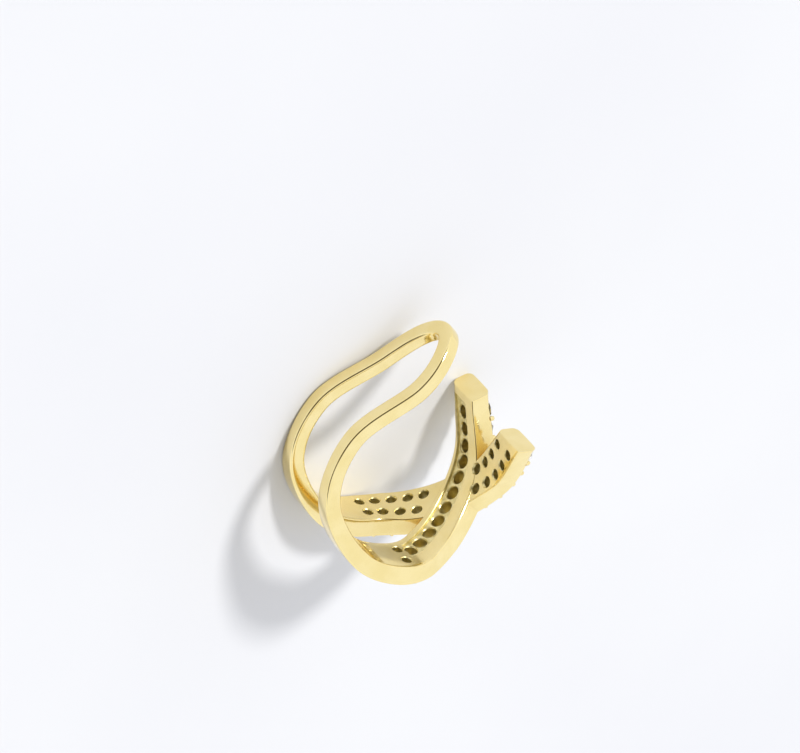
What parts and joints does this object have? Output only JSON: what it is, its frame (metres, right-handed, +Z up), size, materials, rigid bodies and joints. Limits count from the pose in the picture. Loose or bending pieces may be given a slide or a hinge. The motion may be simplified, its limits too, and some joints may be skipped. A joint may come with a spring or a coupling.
{
  "type": "ear cuff",
  "caption": "Gold ear cuff: a hairpin wire loop whose two legs turn into crossed arms set with round clear stones; it clips over the ear's rim.",
  "frame": {"origin": "centre of the bounding box's underside, on the surface the cuff rests on", "axes": "+X towards the cuff's opening between loop tip and arm ends, +Z up along the ring's axis as it lies on its side"},
  "size_m": [0.0156, 0.0148, 0.0091],
  "materials": {
    "gold": "polished",
    "crystal": "polished"
  },
  "bodies": {
    "root": {"cuff_frame": "gold", "stone_outer_lower_1": "crystal", "stone_outer_lower_2": "crystal", "stone_outer_lower_3": "crystal", "stone_outer_lower_4": "crystal", "stone_outer_lower_5": "crystal", "stone_outer_lower_6": "crystal", "stone_outer_lower_7": "crystal", "stone_outer_lower_8": "crystal", "stone_outer_lower_9": "crystal", "stone_outer_lower_10": "crystal", "stone_outer_lower_11": "crystal", "stone_outer_lower_12": "crystal", "stone_outer_upper_1": "crystal", "stone_outer_upper_2": "crystal", "stone_outer_upper_3": "crystal", "stone_outer_upper_4": "crystal", "stone_outer_upper_5": "crystal", "stone_outer_upper_6": "crystal", "stone_outer_upper_7": "crystal", "stone_outer_upper_8": "crystal", "stone_outer_upper_9": "crystal", "stone_outer_upper_10": "crystal", "stone_outer_upper_11": "crystal", "stone_outer_upper_12": "crystal", "stone_inner_upper_1": "crystal", "stone_inner_upper_2": "crystal", "stone_inner_upper_3": "crystal", "stone_inner_upper_4": "crystal", "stone_inner_upper_5": "crystal", "stone_inner_upper_10": "crystal", "stone_inner_upper_11": "crystal", "stone_inner_upper_12": "crystal", "stone_inner_lower_1": "crystal", "stone_inner_lower_2": "crystal", "stone_inner_lower_3": "crystal", "stone_inner_lower_4": "crystal", "stone_inner_lower_9": "crystal", "stone_inner_lower_10": "crystal", "stone_inner_lower_11": "crystal", "stone_inner_lower_12": "crystal"}
  },
  "joints": []
}
